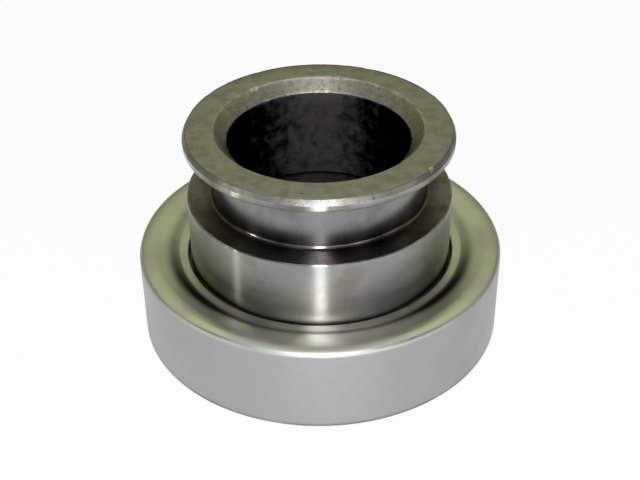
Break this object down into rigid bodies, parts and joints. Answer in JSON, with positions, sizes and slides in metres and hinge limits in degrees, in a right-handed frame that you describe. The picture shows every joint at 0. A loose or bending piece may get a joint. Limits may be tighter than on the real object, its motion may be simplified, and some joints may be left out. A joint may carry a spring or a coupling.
{
  "type": "clutch release bearing",
  "caption": "Sealed ball thrust bearing in a drawn steel shell on a guide sleeve with a fork groove, sliding on a guide tube to push the clutch fingers.",
  "frame": {"origin": "centre of the contact face, on the axis", "axes": "+Z along the axis, from the clutch side to the fork groove"},
  "size_m": [0.0716, 0.0716, 0.0444],
  "materials": {
    "turned_steel": "turned, worn",
    "ground_steel": "ground",
    "plated_sheet": "satin",
    "ball_steel": "polished",
    "cage_plastic": "moulded",
    "seal_rubber": "moulded"
  },
  "bodies": {
    "sleeve": {"sleeve": "turned_steel", "inner_ring": "ground_steel"},
    "race": {"outer_ring": "ground_steel", "shell": "plated_sheet", "front_seal": "seal_rubber"},
    "cage": {"ball_cage": "cage_plastic"},
    "ball_01": {"ball_01": "ball_steel"},
    "ball_02": {"ball_02": "ball_steel"},
    "ball_03": {"ball_03": "ball_steel"},
    "ball_04": {"ball_04": "ball_steel"},
    "ball_05": {"ball_05": "ball_steel"},
    "ball_06": {"ball_06": "ball_steel"},
    "ball_07": {"ball_07": "ball_steel"},
    "ball_08": {"ball_08": "ball_steel"},
    "ball_09": {"ball_09": "ball_steel"},
    "ball_10": {"ball_10": "ball_steel"},
    "ball_11": {"ball_11": "ball_steel"},
    "ball_12": {"ball_12": "ball_steel"},
    "ball_13": {"ball_13": "ball_steel"},
    "ball_14": {"ball_14": "ball_steel"},
    "ball_15": {"ball_15": "ball_steel"},
    "ball_16": {"ball_16": "ball_steel"}
  },
  "joints": [
    {"name": "race_spin", "type": "hinge", "parent": "sleeve", "child": "race", "pos_m": [0, 0, 0.00857], "axis": [0, 0, 1], "continuous": true},
    {"name": "cage_spin", "type": "hinge", "parent": "sleeve", "child": "cage", "pos_m": [0, 0, 0.00857], "axis": [0, 0, 1], "continuous": true},
    {"name": "ball_01_roll", "type": "hinge", "parent": "cage", "child": "ball_01", "pos_m": [0.02802, 0, 0.00857], "axis": [0.6428, 0, 0.766], "continuous": true},
    {"name": "ball_02_roll", "type": "hinge", "parent": "cage", "child": "ball_02", "pos_m": [0.02589, 0.01072, 0.00857], "axis": [0.5939, 0.246, 0.766], "continuous": true},
    {"name": "ball_03_roll", "type": "hinge", "parent": "cage", "child": "ball_03", "pos_m": [0.01981, 0.01981, 0.00857], "axis": [0.4545, 0.4545, 0.766], "continuous": true},
    {"name": "ball_04_roll", "type": "hinge", "parent": "cage", "child": "ball_04", "pos_m": [0.01072, 0.02589, 0.00857], "axis": [0.246, 0.5939, 0.766], "continuous": true},
    {"name": "ball_05_roll", "type": "hinge", "parent": "cage", "child": "ball_05", "pos_m": [0, 0.02802, 0.00857], "axis": [0, 0.6428, 0.766], "continuous": true},
    {"name": "ball_06_roll", "type": "hinge", "parent": "cage", "child": "ball_06", "pos_m": [-0.01072, 0.02589, 0.00857], "axis": [-0.246, 0.5939, 0.766], "continuous": true},
    {"name": "ball_07_roll", "type": "hinge", "parent": "cage", "child": "ball_07", "pos_m": [-0.01981, 0.01981, 0.00857], "axis": [-0.4545, 0.4545, 0.766], "continuous": true},
    {"name": "ball_08_roll", "type": "hinge", "parent": "cage", "child": "ball_08", "pos_m": [-0.02589, 0.01072, 0.00857], "axis": [-0.5939, 0.246, 0.766], "continuous": true},
    {"name": "ball_09_roll", "type": "hinge", "parent": "cage", "child": "ball_09", "pos_m": [-0.02802, 0, 0.00857], "axis": [-0.6428, 0, 0.766], "continuous": true},
    {"name": "ball_10_roll", "type": "hinge", "parent": "cage", "child": "ball_10", "pos_m": [-0.02589, -0.01072, 0.00857], "axis": [-0.5939, -0.246, 0.766], "continuous": true},
    {"name": "ball_11_roll", "type": "hinge", "parent": "cage", "child": "ball_11", "pos_m": [-0.01981, -0.01981, 0.00857], "axis": [-0.4545, -0.4545, 0.766], "continuous": true},
    {"name": "ball_12_roll", "type": "hinge", "parent": "cage", "child": "ball_12", "pos_m": [-0.01072, -0.02589, 0.00857], "axis": [-0.246, -0.5939, 0.766], "continuous": true},
    {"name": "ball_13_roll", "type": "hinge", "parent": "cage", "child": "ball_13", "pos_m": [0, -0.02802, 0.00857], "axis": [0, -0.6428, 0.766], "continuous": true},
    {"name": "ball_14_roll", "type": "hinge", "parent": "cage", "child": "ball_14", "pos_m": [0.01072, -0.02589, 0.00857], "axis": [0.246, -0.5939, 0.766], "continuous": true},
    {"name": "ball_15_roll", "type": "hinge", "parent": "cage", "child": "ball_15", "pos_m": [0.01981, -0.01981, 0.00857], "axis": [0.4545, -0.4545, 0.766], "continuous": true},
    {"name": "ball_16_roll", "type": "hinge", "parent": "cage", "child": "ball_16", "pos_m": [0.02589, -0.01072, 0.00857], "axis": [0.5939, -0.246, 0.766], "continuous": true}
  ],
  "couplings": [
    {"joint": "cage_spin", "follows": "race_spin", "ratio": 0.55426},
    {"joint": "ball_01_roll", "follows": "race_spin", "ratio": 3.4882},
    {"joint": "ball_02_roll", "follows": "race_spin", "ratio": 3.4882},
    {"joint": "ball_03_roll", "follows": "race_spin", "ratio": 3.4882},
    {"joint": "ball_04_roll", "follows": "race_spin", "ratio": 3.4882},
    {"joint": "ball_05_roll", "follows": "race_spin", "ratio": 3.4882},
    {"joint": "ball_06_roll", "follows": "race_spin", "ratio": 3.4882},
    {"joint": "ball_07_roll", "follows": "race_spin", "ratio": 3.4882},
    {"joint": "ball_08_roll", "follows": "race_spin", "ratio": 3.4882},
    {"joint": "ball_09_roll", "follows": "race_spin", "ratio": 3.4882},
    {"joint": "ball_10_roll", "follows": "race_spin", "ratio": 3.4882},
    {"joint": "ball_11_roll", "follows": "race_spin", "ratio": 3.4882},
    {"joint": "ball_12_roll", "follows": "race_spin", "ratio": 3.4882},
    {"joint": "ball_13_roll", "follows": "race_spin", "ratio": 3.4882},
    {"joint": "ball_14_roll", "follows": "race_spin", "ratio": 3.4882},
    {"joint": "ball_15_roll", "follows": "race_spin", "ratio": 3.4882},
    {"joint": "ball_16_roll", "follows": "race_spin", "ratio": 3.4882}
  ]
}
